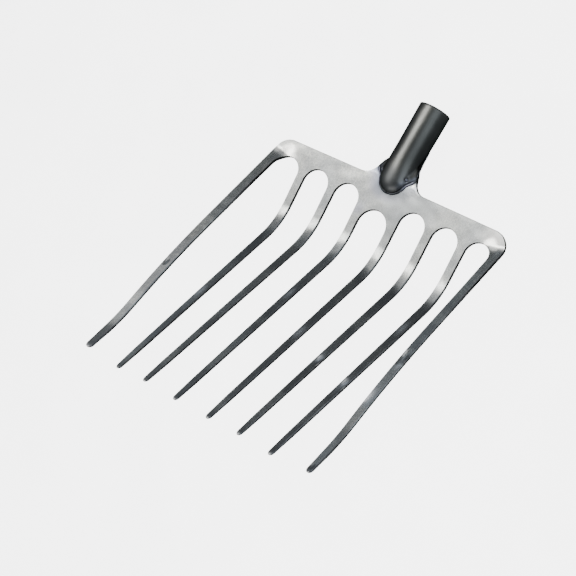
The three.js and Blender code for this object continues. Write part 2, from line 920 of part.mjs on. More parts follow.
function noseLine() {
  const shares = [-1, ...spacedRuns(-1, 1, 2 * beadRows)];
  return shares.map((share) => {
    const up = lerp(noseTipRun + seamGap, seamSplitRun - neckBeadRadius, share ** 2);
    return seamPoint(up, Math.sign(share));
  });
}

function neckLine(way) {
  const from = seamSplitRun + neckBeadRadius;
  return [from, ...spacedRuns(from, neckEndRun, beadRows)].map((up) => seamPoint(up, way));
}

// A plug weld: a short round pin through the flange with a low dome on its outer end
function plugSolid(way, clearance) {
  const faceAt = (x) => formNeck(way * x, -plugRun, flangeLift(plugRun, x));
  const face = faceAt(plugReach);
  const side = new THREE.Vector3(0, 1, 0);
  const slope = faceAt(plugReach + plugRadius).sub(faceAt(plugReach - plugRadius)).multiplyScalar(way);
  const out = slope.cross(side).normalize();
  const up = out.clone().cross(side);
  const stations = [[-plugDepth - clearance, 1], [clearance > 0 ? cutOverrun : 0, 1]];
  if (clearance === 0) {
    for (const share of spacedRuns(0, 1, domeRows)) {
      const turn = share * quarterTurn;
      stations.push([plugDome * Math.sin(turn), lerp(plugRimShare, 1, Math.cos(turn))]);
    }
  }
  return loftSolid(stations.map(([lift, share]) => {
    const centre = face.clone().addScaledVector(out, lift);
    return circlePoints(centre, side, up, plugRadius * share + clearance, plugSides);
  }));
}

function steel(color, roughness) {
  return new THREE.MeshStandardMaterial({ color, roughness, metalness: 0.9 });
}

const bladeSteel = steel(0xb4b4ae, 0.45);
const socketSteel = steel(0x3a403e, 0.4);
const weldSteel = steel(0x4a4c54, 0.55);

const head = new THREE.Group();

function addPiece(name, geometry, material) {
  const mesh = new THREE.Mesh(geometry, material);
  mesh.name = name;
  head.add(mesh);
}

const welds = {
  nose_weld: (clearance) => beadSolid(noseLine(), noseBeadRadius, clearance),
  neck_weld_left: (clearance) => beadSolid(neckLine(-1), neckBeadRadius, clearance),
  neck_weld_right: (clearance) => beadSolid(neckLine(1), neckBeadRadius, clearance),
};
const plugs = {
  plug_weld_left: (clearance) => plugSolid(-1, clearance),
  plug_weld_right: (clearance) => plugSolid(1, clearance),
};

const grooves = Object.values(welds).map((make) => toManifold(make(seamGap)));
const holes = Object.values(plugs).map((make) => toManifold(make(seamGap)));
const blade = grooves.reduce((solid, groove) => solid.subtract(groove), toManifold(makeBlade()));
const socketCuts = [neckRoom(), ...grooves, ...holes];
const socket = socketCuts.reduce((solid, cut) => solid.subtract(cut), makeSocketTube());

addPiece('blade', toGeometry(blade), bladeSteel);
addPiece('socket', toGeometry(socket), socketSteel);
for (const [name, make] of Object.entries({ ...welds, ...plugs })) {
  addPiece(name, make(0), weldSteel);
}

export default head;
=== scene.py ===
"""Looks of the farm fork head: bare tumbled steel blade, black oxide socket, blued weld metal.

Everything is in metres, in the CAD's frame: X across the head, tines toward -Y, +Z up out of the plate.
"""

import math

import bmesh
import bpy
from mathutils import Matrix, Vector


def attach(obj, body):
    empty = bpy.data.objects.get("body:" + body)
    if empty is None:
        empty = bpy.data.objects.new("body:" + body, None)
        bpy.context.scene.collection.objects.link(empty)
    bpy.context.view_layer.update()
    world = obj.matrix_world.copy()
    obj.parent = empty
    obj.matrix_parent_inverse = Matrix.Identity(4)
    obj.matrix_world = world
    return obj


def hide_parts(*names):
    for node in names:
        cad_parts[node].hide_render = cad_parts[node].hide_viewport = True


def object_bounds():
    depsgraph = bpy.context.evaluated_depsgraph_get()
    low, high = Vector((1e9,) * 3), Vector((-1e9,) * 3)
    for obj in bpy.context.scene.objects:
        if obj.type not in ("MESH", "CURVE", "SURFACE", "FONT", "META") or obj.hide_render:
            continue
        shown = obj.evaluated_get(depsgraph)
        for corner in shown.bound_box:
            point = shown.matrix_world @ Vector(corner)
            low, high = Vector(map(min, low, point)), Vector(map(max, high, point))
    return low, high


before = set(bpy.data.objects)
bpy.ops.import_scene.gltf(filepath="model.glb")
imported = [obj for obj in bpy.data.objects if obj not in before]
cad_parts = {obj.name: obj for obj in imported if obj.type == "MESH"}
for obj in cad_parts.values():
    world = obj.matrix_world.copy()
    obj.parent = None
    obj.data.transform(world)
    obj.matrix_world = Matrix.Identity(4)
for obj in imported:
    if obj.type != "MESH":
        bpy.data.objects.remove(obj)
cad_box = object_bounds()

# How the blade's faces are sorted into rolled faces, cut sides and eased edges
MERGE_DISTANCE = 2e-6
REGION_ANGLE = math.radians(28)
MAIN_FACE_AREA = 0.006
EASED_SHARE = 0.35
SIDE_SHARE = 0.87
UPRIGHT_SHARE = 0.85
SLOT_TOPS_Y = 0.006
SLOT_SHOULDERS_Y = -0.020
ROOTS_END_Y = -0.045

# Smooth shading: edges that bend more than this stay sharp, and large faces weigh this much
SHEET_CREASE = math.radians(24)
SOCKET_CREASE = math.radians(40)
NORMAL_WEIGHT = 80

# The tines' widening toward their points: each line has the reach of X that it holds for, and the distance
# from the middle of the head to the line that the width grows from, where the widening starts and ends
FILL_FROM_Y = -0.045
FILL_TO_Y = -0.315
FILL_SHARE = 0.32
FILL_LINES = ((0.050, 0.0269, 0.0261), (0.100, 0.0761, 0.0747),
              (0.149, 0.1252, 0.1213), (0.181, 0.1800, 0.1800))

# The weld beads' ripples, and the round of the nose that its bead follows
NOSE_CENTRE_Y = 0.0290
NOSE_HALF_WIDTH = 0.0180
RIPPLE_PITCH = 0.0016
RIPPLE_HEIGHT = 0.00006
BEAD_LEVELS = 2

# The socket's foot on the plate, an oval nose and a flare behind it, which the heat tint and the painted shade
# at its seam follow
FOOT_ROUND_Y = 0.0176
FOOT_HALF_WIDTH = 0.0146
FOOT_NOSE_RUN = 0.0096
FOOT_FLARE_RUN = 0.0175
FOOT_FLARE_POWER = 1.4
FOOT_SCALE = 0.011

# Stretches of Y over which a finish comes in on the socket and on its welds
FLARE_COMES_IN = (0.015, 0.021)
BEAD_FLARE_ENDS = (0.034, 0.031)
LOWER_HALF_COMES_IN = (0.100, 0.070)
LOWER_HALF_ENDS = (0.045, 0.058)
# On the nose the lighter tone is a painted highlight, and the lower roughness is real
NOSE_HIGHLIGHT_COMES_IN = (0.045, 0.030)
SEAM_STRIP = (-0.0035, -0.0010)
FILLET_RADIUS = 0.0045

# Stretches of Y over which a tone comes in on the tines: painted shade past the bend, darker points, painted
# shade on the eased edges
TINE_SHADE_COMES_IN = (-0.055, -0.085)
POINTS_COME_IN = (-0.296, -0.310)
EASED_SHADE_COMES_IN = (ROOTS_END_Y - 0.06, ROOTS_END_Y)

# Heat tint and painted shade in the steel, from the seam outward: its waver, its reach, its tones and how much
# they cover
HEAT_WAVER = 0.001
HEAT_REACH = 0.019
# Near black at the seam is painted shade; the blue-greys further out are heat tint
HEAT_AND_SHADE_TONES = [(0.0, (0.018, 0.020, 0.024)), (0.10, (0.05, 0.058, 0.078)), (0.26, (0.22, 0.24, 0.31)),
              (0.52, (0.41, 0.42, 0.49)), (1.0, (0.62, 0.62, 0.63))]
HEAT_COVER = [(0.0, 1.0), (0.45, 0.9), (1.0, 0.0)]

# Places on the plate with another tone, as centre, reach, share and tone: a darker patch, painted highlights on
# the two corners, a blued spot by the slots and a painted highlight on the neck's edge
PLATE_PATCHES_AND_HIGHLIGHTS = (((0.032, -0.006), 0.075, 0.9, (0.40, 0.42, 0.425)),
                ((-0.158, 0.007), 0.026, 0.9, (0.97, 0.96, 0.93)),
                ((0.161, 0.011), 0.026, 0.9, (0.97, 0.96, 0.93)),
                ((-0.028, -0.022), 0.013, 0.6, (0.46, 0.47, 0.56)),
                ((0.0286, 0.0282), 0.0035, 0.9, (0.95, 0.95, 0.93)))

# The left outer tine's point, darkened further as painted shade, and painted highlights on the tines, as centre
# and reach
SHADED_POINT = (-0.176, -0.298)
PAINTED_HIGHLIGHTS = (((0.0748, -0.2000), 0.0050), ((0.1225, -0.2150), 0.0070), ((0.1755, -0.1640), 0.0050),
                 ((0.1236, -0.1290), 0.0060), ((0.1730, -0.2120), 0.0080), ((-0.1240, -0.1950), 0.0060),
                 ((-0.0265, -0.1500), 0.0055), ((0.0262, -0.1850), 0.0060))

# Hammer marks on the tines, as centre, reach and depth, and the two corners' swells, which rise instead
HAMMER_MARKS = (((0.0748, -0.2049), 0.0075, 0.0013), ((0.1218, -0.2155), 0.0080, 0.0014),
                ((0.1735, -0.1560), 0.0085, 0.0016), ((0.1736, -0.2153), 0.0080, 0.0006),
                ((-0.1763, -0.1824), 0.0045, 0.0006), ((0.1746, -0.3046), 0.0050, 0.0007),
                ((-0.1580, -0.0100), 0.0180, -0.0015), ((0.1590, -0.0060), 0.0130, -0.0010))

# The neck's root on each side, where the shading is evened across the bend
NECK_ROOT_X = 0.029
NECK_ROOT_Y = 0.0205
NECK_ROOT_REACH = 0.020

# Camera, solved from the photograph on the same frame
CAMERA_PLACE = (1.3349, -0.1289, 2.0135)
CAMERA_AZIMUTH = math.radians(90.703)
CAMERA_ELEVATION = math.radians(55.149)
CAMERA_ROLL = math.radians(-64.062)
CAMERA_LENS = 126.7
CAMERA_SENSOR = 36.0
CAMERA_CLIP = (0.05, 60)

# Studio: the floor lies just under the head, and the lights stand round a point in the middle of it
FLOOR_GAP = 0.0006
FLOOR_REACH = 9
WORLD_COLOUR = (0.86, 0.94, 1.0, 1)
WORLD_GLOW = 0.12
LIGHTS_AIM = (0, -0.1, 0.05)
NEAR, FAR = 3.0, 3.2
WHITE, WARM, SOFT_WARM = (1, 1, 1), (1.0, 0.98, 0.95), (1.0, 0.985, 0.95)
COOL, COLD = (0.84, 0.92, 1.0), (0.80, 0.90, 1.0)

# Soft lights: direction seen from the head, width and height, glow, colour, distance and what each one lights
SOFTBOXES = (("plate_softbox", (-0.571, -0.15, 0.81), (1.6, 2.2), 0.72, WHITE, NEAR, "all"),
             ("key_strip", (-0.40, 0.275, 0.87), (2.2, 0.62), 7.0, SOFT_WARM, NEAR, "blade"),
             ("socket_strip", (-0.40, 0.275, 0.87), (1.3, 0.8), 9.5, WARM, NEAR, "socket"),
             ("upper_softbox", (-0.43, 0.54, 0.72), (1.0, 0.9), 0.9, WHITE, NEAR, "all"),
             ("upper_fill", (-0.40, 0.70, 0.61), (0.7, 0.4), 0.4, WHITE, NEAR, "all"),
             ("low_side_fill", (-0.80, 0.55, 0.36), (1.1, 1.1), 0.26, COLD, NEAR, "all"),
             ("edge_fill", (0.74, 0.55, 0.40), (0.9, 0.9), 0.5, COOL, NEAR, "all"),
             ("camera_side_fill", (0.75, 0.15, 0.65), (2.4, 2.4), 0.7, COOL, NEAR, "all"),
             ("rear_softbox", (0.12, 0.89, 0.42), (1.6, 1.4), 0.6, WHITE, FAR, "all"),
             ("front_softbox", (0.0, -0.90, 0.42), (2.6, 1.6), 0.6, WHITE, FAR, "all"),
             ("right_softbox", (0.93, 0.0, 0.36), (1.2, 1.4), 0.6, WHITE, FAR, "blade"),
             ("top_softbox", (0.14, 0.0, 0.99), (1.2, 1.2), 0.5, WHITE, FAR, "blade"),
             ("under_fill", (0.0, 0.4, -0.9), (4.5, 4.5), 0.35, WHITE, FAR, "blade"),
             ("floor_wash", (0.1, 0.0, 1.0), (4.0, 4.0), 17.0, WHITE, NEAR, "floor"))

# Sockets of the Mix node, which has a set for each kind of data
MIX_SHARE, MIX_COLOURS, MIX_COLOUR_OUT = 0, (6, 7), 2
MIX_VECTORS, MIX_VECTOR_OUT = (4, 5), 1


class Tree:
    """A node tree with short calls: add() makes a node and fills its sockets or joins what is passed."""

    def __init__(self, tree):
        self.tree = tree

    def add(self, kind, sockets=None, **settings):
        node = self.tree.nodes.new(kind)
        for name, value in settings.items():
            setattr(node, name, value)
        for key, value in (sockets or {}).items():
            socket = node.inputs[key]
            if isinstance(value, bpy.types.NodeSocket):
                self.tree.links.new(value, socket)
            else:
                socket.default_value = value
        return node

    def maths(self, operation, *values, clamp=False):
        node = self.add("ShaderNodeMath", dict(enumerate(values)), operation=operation, use_clamp=clamp)
        return node.outputs[0]

    def vector(self, operation, *values):
        return self.add("ShaderNodeVectorMath", dict(enumerate(values)), operation=operation).outputs

    def parts(self, vector):
        return self.add("ShaderNodeSeparateXYZ", {0: vector}).outputs

    def scaled(self, scale):
        return self.add("ShaderNodeMapping", {"Vector": self.place, "Scale": scale}).outputs[0]

    def noise(self, place, scale, detail, rough):
        sockets = {"Vector": place, "Scale": scale, "Detail": detail, "Roughness": rough}
        return self.add("ShaderNodeTexNoise", sockets).outputs[0]

    def spread(self, value, low, high, to_low=0.0, to_high=1.0):
        node = self.add("ShaderNodeMapRange", {0: value, 1: low, 2: high, 3: to_low, 4: to_high})
        return node.outputs[0]

    def ramp(self, value, stops, smooth=True):
        node = self.add("ShaderNodeValToRGB", {0: value})
        node.color_ramp.interpolation = "EASE" if smooth else "LINEAR"
        while len(node.color_ramp.elements) < len(stops):
            node.color_ramp.elements.new(1)
        for element, (place, colour) in zip(node.color_ramp.elements, stops):
            element.position = place
            grey = isinstance(colour, (int, float))
            element.color = (colour, colour, colour, 1) if grey else (*colour, 1)
        return node.outputs[0]

    def tint(self, share, *colours):
        """Mixes the second colour over the first by a share."""
        filled = [colour if isinstance(colour, bpy.types.NodeSocket) else (*colour, 1) for colour in colours]
        sockets = {MIX_SHARE: share, **dict(zip(MIX_COLOURS, filled))}
        return self.add("ShaderNodeMix", sockets, data_type="RGBA").outputs[MIX_COLOUR_OUT]


def finish_tree(name, plain):
    """A material with a Principled shader whose plain values are set on its own sockets."""
    material = bpy.data.materials.new(name)
    material.use_nodes = True
    tree = Tree(material.node_tree)
    tree.shader = material.node_tree.nodes["Principled BSDF"]
    for socket, value in plain.items():
        tree.shader.inputs[socket].default_value = value
    tree.place = tree.add("ShaderNodeTexCoord").outputs["Object"]
    tree.material = material
    return tree


def level_normal(tree, level_share):
    """The face's direction, turned toward straight up by a share wherever it already points up."""
    facing = tree.add("ShaderNodeNewGeometry").outputs["Normal"]
    points_up = tree.spread(tree.parts(facing)[2], 0.5, 0.8)
    sockets = {MIX_SHARE: tree.maths("MULTIPLY", level_share, points_up),
               MIX_VECTORS[0]: facing, MIX_VECTORS[1]: (0, 0, 1)}
    levelled = tree.add("ShaderNodeMix", sockets, data_type="VECTOR").outputs[MIX_VECTOR_OUT]
    return tree.vector("NORMALIZE", levelled)[0]


def join_finish(tree, colour, rough, *reliefs, normal=None):
    """Joins colour and roughness to the shader, and (height, depth in metres, strength) reliefs on a normal."""
    links = tree.tree.links
    links.new(colour, tree.shader.inputs["Base Color"])
    links.new(rough, tree.shader.inputs["Roughness"])
    for height, depth, strength in reliefs:
        sockets = {"Strength": strength, "Distance": depth, "Height": height}
        if normal is not None:
            sockets["Normal"] = normal
        normal = tree.add("ShaderNodeBump", sockets).outputs[0]
    if normal is not None:
        links.new(normal, tree.shader.inputs["Normal"])
    return tree.material


def seam_distance(tree):
    """How far a point lies outside the socket's foot, in metres: an oval nose, then a flare."""
    x, y, _ = tree.parts(tree.place)
    ahead = tree.maths("SUBTRACT", y, FOOT_ROUND_Y)
    flare = tree.maths("DIVIDE", tree.maths("MAXIMUM", ahead, 0.0), FOOT_FLARE_RUN)
    widening = tree.maths("ADD", tree.maths("POWER", flare, FOOT_FLARE_POWER), 1.0)
    across = tree.maths("DIVIDE", x, tree.maths("MULTIPLY", widening, FOOT_HALF_WIDTH))
    behind = tree.maths("DIVIDE", tree.maths("MINIMUM", ahead, 0.0), FOOT_NOSE_RUN)
    reach = tree.maths("SQRT", tree.maths("ADD", tree.maths("MULTIPLY", across, across),
                                          tree.maths("MULTIPLY", behind, behind)))
    return tree.maths("MULTIPLY", tree.maths("SUBTRACT", reach, 1.0), FOOT_SCALE)


def spot(tree, centre, reach, longer=1.0):
    """1 at a place on the blade, falling to 0 at the given reach, or at so many times the reach along Y."""
    away = tree.vector("SUBTRACT", tree.place, (*centre, 0))[0]
    flat = tree.vector("MULTIPLY", away, (1, 1 / longer, 0))[0]
    length = tree.vector("LENGTH", flat)["Value"]
    return tree.ramp(tree.maths("DIVIDE", length, reach), [(0.0, 1.0), (1.0, 0.0)])


def toned_place(tree, tone, centre, reach, share, place_tone, longer=1.0):
    """The tone, mixed toward another tone over a place on the blade."""
    return tree.tint(tree.maths("MULTIPLY", spot(tree, centre, reach, longer), share), tone, place_tone)


def tumbled_tone(tree, clouds, mottle, streaks):
    """The sheet's greys: clouds, darker mottle, grain and roll streaks over them, and bright specks."""
    grain = tree.noise(tree.place, 400.0, 2.0, 0.6)
    specks = tree.noise(tree.place, 620.0, 1.0, 0.5)
    tone = tree.ramp(clouds, [(0.34, (0.52, 0.545, 0.545)), (0.64, (0.66, 0.665, 0.62))])
    for pattern, low, high, share, pattern_tone in ((mottle, 0.38, 0.66, 0.70, (0.45, 0.465, 0.47)),
                                                    (grain, 0.44, 0.60, 0.45, (0.36, 0.375, 0.38)),
                                                    (streaks, 0.46, 0.72, 0.50, (0.38, 0.39, 0.405)),
                                                    (specks, 0.64, 0.74, 0.40, (0.90, 0.90, 0.90))):
        tone = tree.tint(tree.spread(pattern, low, high, 0.0, share), tone, pattern_tone)
    return tone


def heat_tint_and_seam_shade(tree, tone, clouds):
    """The heat tint round the socket's foot, blue-grey further out, with painted shade near black at the seam.
    """
    waver = tree.spread(clouds, 0.3, 0.7, -HEAT_WAVER, HEAT_WAVER)
    heat = tree.spread(tree.maths("ADD", seam_distance(tree), waver), -HEAT_WAVER, HEAT_REACH)
    return tree.tint(tree.ramp(heat, HEAT_COVER), tone, tree.ramp(heat, HEAT_AND_SHADE_TONES, smooth=False))


def patches_and_painted_light(tree, tone):
    """The plate's patches and painted highlights; on the tines, painted shade past the bend, on a point and on
    the eased edges, darker points and painted highlights.
    """
    for centre, reach, share, place_tone in PLATE_PATCHES_AND_HIGHLIGHTS:
        tone = toned_place(tree, tone, centre, reach, share, place_tone)
    y = tree.parts(tree.place)[1]
    # Painted shade: the tines darkened in patches past their bends
    shade_patches = tree.spread(tree.noise(tree.scaled((19.0, 24.0, 8.0)), 1.0, 2.0, 0.5), 0.42, 0.58, 0.0, 0.65)
    scale = tree.maths("MULTIPLY", tree.spread(y, *TINE_SHADE_COMES_IN), shade_patches)
    tone = tree.tint(scale, tone, (0.24, 0.25, 0.265))
    tone = tree.tint(tree.spread(y, *POINTS_COME_IN, 0.0, 0.7), tone, (0.20, 0.21, 0.22))
    # Painted shade: the left outer tine's point darkened further
    tone = toned_place(tree, tone, SHADED_POINT, 0.022, 0.85, (0.12, 0.13, 0.14), longer=1.6)
    # Painted highlights over the hammer marks on the tines
    for centre, reach in PAINTED_HIGHLIGHTS:
        tone = toned_place(tree, tone, centre, reach, 0.9, (0.93, 0.96, 1.0), longer=2.4)
    # Painted shade: the tines' eased edges near the roots made near black
    eased = tree.add("ShaderNodeAttribute", attribute_name="eased").outputs["Fac"]
    eased_edge_shade = tree.maths("MULTIPLY", eased, tree.spread(y, *EASED_SHADE_COMES_IN))
    return tree.tint(eased_edge_shade, tone, (0.012, 0.013, 0.014))


def hammered_height(tree):
    """The height of the hammer marks and the corners' swells, in metres."""
    height = 0.0
    for centre, reach, depth in HAMMER_MARKS:
        mark = spot(tree, centre, reach, longer=1.5)
        height = tree.maths("ADD", height, tree.maths("MULTIPLY", mark, -depth))
    return height


def blade_steel():
    """Bare rolled sheet, tumbled cloudy grey, streaked along the tines, heat-blued at the socket, with painted
    highlights and shade.
    """
    tree = finish_tree("blade_steel", {"Metallic": 1.0})
    clouds = tree.noise(tree.place, 17.0, 3.0, 0.55)
    mottle = tree.noise(tree.place, 240.0, 4.0, 0.65)
    streaks = tree.noise(tree.scaled((900.0, 26.0, 26.0)), 1.0, 4.0, 0.62)
    unevenness = tree.noise(tree.place, 42.0, 1.0, 0.4)
    tone = heat_tint_and_seam_shade(tree, tumbled_tone(tree, clouds, mottle, streaks), clouds)
    tone = patches_and_painted_light(tree, tone)
    rough = tree.maths("ADD", tree.spread(mottle, 0.3, 0.7, 0.20, 0.25),
                       tree.spread(streaks, 0.3, 0.7, -0.03, 0.03))
    sides = [spot(tree, (side * NECK_ROOT_X, NECK_ROOT_Y), NECK_ROOT_REACH, longer=0.5) for side in (-1, 1)]
    level_share = tree.maths("MULTIPLY", tree.maths("MAXIMUM", *sides), 1.4, clamp=True)
    return join_finish(tree, tone, rough, (unevenness, 0.0005, 1.0), (streaks, 0.00002, 0.3),
                       (hammered_height(tree), 1.0, 1.0), normal=level_normal(tree, level_share))


def sheared_edge():
    """The sheet's sheared sides, dark with oil and scale and painted near black as shade."""
    tree = finish_tree("sheared_edge", {"Metallic": 0.0, "Specular IOR Level": 0.03})
    grain = tree.noise(tree.scaled((260.0, 260.0, 1400.0)), 1.0, 3.0, 0.6)
    tone = tree.ramp(grain, [(0.35, (0.003, 0.0032, 0.0036)), (0.7, (0.010, 0.0105, 0.011))])
    return join_finish(tree, tone, tree.spread(grain, 0.3, 0.7, 0.42, 0.6), (grain, 0.00006, 0.4))


def socket_oxide():
    """Drawn tube under black oxide and oil, darker over a band toward its foot, blued at the seam, with a
    painted highlight and less roughness on the nose.
    """
    tree = finish_tree("socket_oxide", {"Metallic": 1.0, "Specular Tint": (0.05, 0.085, 0.05, 1)})
    drawn = tree.noise(tree.scaled((900.0, 60.0, 900.0)), 1.0, 3.0, 0.6)
    clouds = tree.noise(tree.place, 45.0, 3.0, 0.55)
    y = tree.parts(tree.place)[1]
    tone = tree.ramp(clouds, [(0.3, (0.205, 0.21, 0.20)), (0.7, (0.26, 0.262, 0.25))])
    tone = tree.tint(tree.spread(drawn, 0.35, 0.75, 0.0, 0.25), tone, (0.16, 0.175, 0.16))
    lower_half = tree.maths("MULTIPLY", tree.spread(y, *LOWER_HALF_COMES_IN),
                            tree.spread(y, *LOWER_HALF_ENDS))
    tone = tree.tint(tree.maths("MULTIPLY", lower_half, 0.45), tone, (0.115, 0.118, 0.115))
    near_seam = tree.maths("MULTIPLY", tree.spread(y, *FLARE_COMES_IN),
                           tree.spread(seam_distance(tree), *SEAM_STRIP, 0.0, 0.9))
    tone = tree.tint(near_seam, tone, (0.42, 0.45, 0.56))
    # Painted highlight: the nose made lighter
    tone = tree.tint(tree.spread(y, *NOSE_HIGHLIGHT_COMES_IN, 0.0, 0.5), tone, (0.34, 0.35, 0.36))
    rough = tree.maths("ADD", tree.spread(clouds, 0.3, 0.7, 0.35, 0.40),
                       tree.spread(drawn, 0.3, 0.7, -0.02, 0.03))
    rough = tree.maths("SUBTRACT", rough, tree.spread(y, *NOSE_HIGHLIGHT_COMES_IN, 0.0, 0.06))
    fillet = tree.add("ShaderNodeBevel", {"Radius": FILLET_RADIUS}, samples=8).outputs[0]
    return join_finish(tree, tone, rough, (drawn, 0.00003, 0.3), normal=fillet)


def weld_metal():
    """Weld metal, ground back, sooted by its own heat and blued beside the flare."""
    tree = finish_tree("weld_metal", {"Metallic": 1.0, "Specular Tint": (0.12, 0.13, 0.15, 1)})
    soot = tree.noise(tree.place, 320.0, 4.0, 0.65)
    y = tree.parts(tree.place)[1]
    tone = tree.ramp(soot, [(0.3, (0.08, 0.09, 0.10)), (0.55, (0.13, 0.14, 0.155)),
                            (0.8, (0.21, 0.215, 0.23))])
    on_flare = tree.maths("MULTIPLY", tree.spread(y, *FLARE_COMES_IN), tree.spread(y, *BEAD_FLARE_ENDS))
    tone = tree.tint(tree.maths("MULTIPLY", on_flare, 0.85), tone, (0.42, 0.44, 0.54))
    return join_finish(tree, tone, tree.spread(soot, 0.3, 0.7, 0.36, 0.5), (soot, 0.00005, 0.35))


def pale_paper():
    """The floor's pale paper."""
    tree = finish_tree("pale_paper", {"Metallic": 0.0})
    fibre = tree.noise(tree.place, 9.0, 2.0, 0.5)
    tone = tree.ramp(fibre, [(0.3, (0.90, 0.90, 0.90)), (0.7, (0.93, 0.93, 0.93))])
    return join_finish(tree, tone, tree.spread(fibre, 0.0, 1.0, 0.9, 1.0))


def merged_copy(node, name):
    """A copy of a CAD node's mesh as its own object, with its loose triangles joined."""
    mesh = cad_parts[node].data.copy()
    mesh.name = name
    mesh.materials.clear()
    shape = bmesh.new()
    shape.from_mesh(mesh)
    bmesh.ops.remove_doubles(shape, verts=shape.verts, dist=MERGE_DISTANCE)
    shape.to_mesh(mesh)
    shape.free()
    piece = bpy.data.objects.new(name, mesh)
    bpy.context.scene.collection.objects.link(piece)
    return piece


def fill_out_tines(piece):
    """Widens the tines toward their points, the outer ones only inward, so that the head's box stays."""
    for vertex in piece.data.vertices:
        x, y, _ = vertex.co
        share = (FILL_FROM_Y - y) / (FILL_FROM_Y - FILL_TO_Y)
        if share > 0:
            start, end = next(line[1:] for line in FILL_LINES if abs(x) < line[0])
            middle = math.copysign(start + (end - start) * share, x)
            vertex.co.x = middle + (x - middle) * (1 + FILL_SHARE * share)


def smooth_regions(shape):
    """Groups of faces that meet at less than REGION_ANGLE."""
    waiting = set(shape.faces)
    for first in shape.faces:
        if first not in waiting:
            continue
        waiting.remove(first)
        region = [first]
        for face in region:
            for edge in face.edges:
                if len(edge.link_faces) == 2 and edge.calc_face_angle(0) < REGION_ANGLE:
                    for other in edge.link_faces:
                        if other in waiting:
                            waiting.remove(other)
                            region.append(other)
        yield region


def cut_side(face, small):
    """Whether a face takes the dark side finish, partly painted shade: every side of a tine, and the eased
    edges round the slots' tops.
    """
    y = face.calc_center_median().y
    sideways = abs(face.normal.x)
    if y < ROOTS_END_Y and face.normal.z < -EASED_SHARE and sideways > EASED_SHARE:
        return True
    if y > SLOT_TOPS_Y:
        return small
    if y > SLOT_SHOULDERS_Y:
        return small or sideways > EASED_SHARE or abs(face.normal.z) < UPRIGHT_SHARE
    if y > ROOTS_END_Y:
        return small or sideways > EASED_SHARE
    return sideways > SIDE_SHARE


def mark_sheared(piece):
    """Writes two face attributes: sheared is 1 on cut sides, and eased is 1 on the tines' eased edges."""
    shape = bmesh.new()
    shape.from_mesh(piece.data)
    sheared = shape.faces.layers.float.new("sheared")
    eased = shape.faces.layers.float.new("eased")
    for region in smooth_regions(shape):
        small = sum(face.calc_area() for face in region) < MAIN_FACE_AREA
        for face in region:
            cut = cut_side(face, small)
            face[sheared] = 1.0 if cut else 0.0
            face[eased] = 1.0 if not cut and abs(face.normal.x) > EASED_SHARE else 0.0
    shape.to_mesh(piece.data)
    shape.free()


def mark_along(piece):
    """Writes each point's distance along the weld: round the nose's centre, or along Y on a straight bead."""
    round_nose = piece.name.startswith("nose")
    distances = []
    for vertex in piece.data.vertices:
        x, y, _ = vertex.co
        distances.append(math.atan2(x, NOSE_CENTRE_Y - y) * NOSE_HALF_WIDTH if round_nose else y)
    layer = piece.data.attributes.new("along", "FLOAT", "POINT")
    layer.data.foreach_set("value", distances)


def geometry_tree(name, inputs):
    """An empty Geometry Nodes tree with one mesh in, one mesh out and named inputs."""
    group = bpy.data.node_groups.new(name, "GeometryNodeTree")
    group.interface.new_socket(name="Mesh", in_out="INPUT", socket_type="NodeSocketGeometry")
    group.interface.new_socket(name="Mesh", in_out="OUTPUT", socket_type="NodeSocketGeometry")
    for label, (kind, value) in inputs.items():
        socket = group.interface.new_socket(name=label, in_out="INPUT", socket_type=kind)
        if value is not None:
            socket.default_value = value
    tree = Tree(group)
    tree.inputs = tree.add("NodeGroupInput").outputs
    return tree


def sheet_tree():
    """Smooth shading up to a crease angle, then one finish on the faces and another on the sheared sides."""
    tree = geometry_tree("sheet_finish", {"Crease Angle": ("NodeSocketFloat", SHEET_CREASE),
                                          "Face Finish": ("NodeSocketMaterial", None),
                                          "Side Finish": ("NodeSocketMaterial", None)})
    bend = tree.add("GeometryNodeInputMeshEdgeAngle").outputs[0]
    soft = tree.add("FunctionNodeCompare", {0: bend, 1: tree.inputs["Crease Angle"]},
                    operation="LESS_THAN").outputs[0]
    whole = tree.add("GeometryNodeSetShadeSmooth", {0: tree.inputs["Mesh"]}, domain="FACE").outputs[0]
    creased = tree.add("GeometryNodeSetShadeSmooth", {0: whole, "Shade Smooth": soft}, domain="EDGE").outputs[0]
    plain = tree.add("GeometryNodeRealizeInstances", {0: creased}).outputs[0]
    faced = tree.add("GeometryNodeSetMaterial", {0: plain, "Material": tree.inputs["Face Finish"]}).outputs[0]
    sheared = tree.add("GeometryNodeInputNamedAttribute", {"Name": "sheared"}, data_type="FLOAT").outputs[0]
    cut = tree.add("FunctionNodeCompare", {0: sheared, 1: 0.5}, operation="GREATER_THAN").outputs[0]
    done = tree.add("GeometryNodeSetMaterial",
                    {0: faced, "Selection": cut, "Material": tree.inputs["Side Finish"]})
    tree.add("NodeGroupOutput", {0: done.outputs[0]})
    return tree


